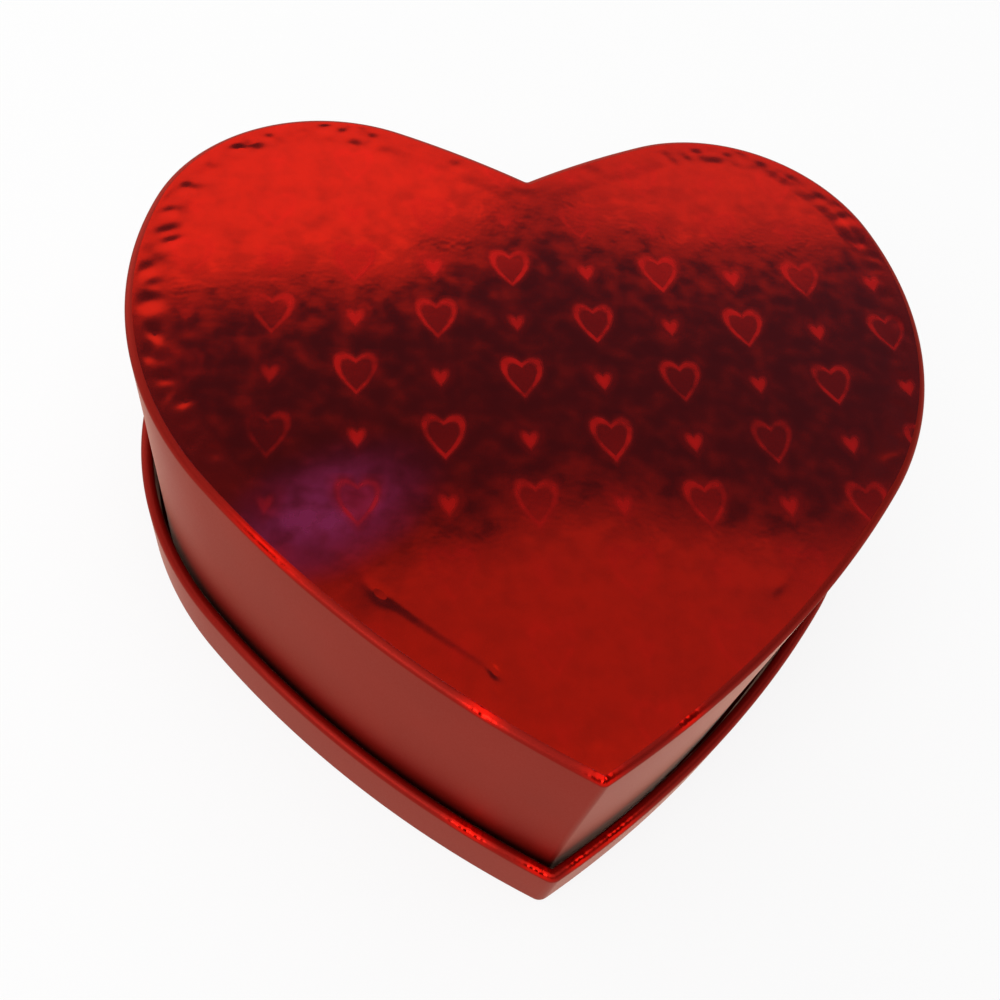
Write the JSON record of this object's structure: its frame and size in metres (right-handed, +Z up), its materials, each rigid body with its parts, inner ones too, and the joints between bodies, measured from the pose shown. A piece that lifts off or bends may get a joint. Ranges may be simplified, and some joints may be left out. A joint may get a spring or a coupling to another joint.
{
  "type": "heart-shaped gift box",
  "caption": "Two-piece rigid heart box in red foil: a deep lid with a patterned foil top lifts out of a shallow, wider tray with a rounded lip.",
  "frame": {"origin": "on the table, under the middle of the tray", "axes": "+Z up, +Y from the heart's point to its notch, +X to the right seen from the point"},
  "size_m": [0.1558, 0.1452, 0.0593],
  "materials": {
    "greyboard": "raw greyboard",
    "red_foil": "plain red metallised foil on paper",
    "heart_foil": "red metallised foil with an embossed heart pattern",
    "white_paper": "uncoated white lining paper",
    "underside_paper": "uncoated white paper"
  },
  "bodies": {
    "tray": {"tray_board": "greyboard", "tray_bottom_sheet": "underside_paper", "tray_floor_liner": "white_paper", "tray_rim_strip": "greyboard", "tray_side_foil": "red_foil"},
    "lid": {"lid_ceiling_liner": "white_paper", "lid_joint_tape": "white_paper", "lid_side_foil": "red_foil", "lid_top_board": "greyboard", "lid_top_foil": "heart_foil", "lid_wall_liner": "white_paper", "lid_wall_strip": "greyboard"}
  },
  "joints": [
    {"name": "lid_lift", "type": "slide", "parent": "tray", "child": "lid", "axis": [0, 0, 1], "range_m": [0, 0.06]}
  ]
}
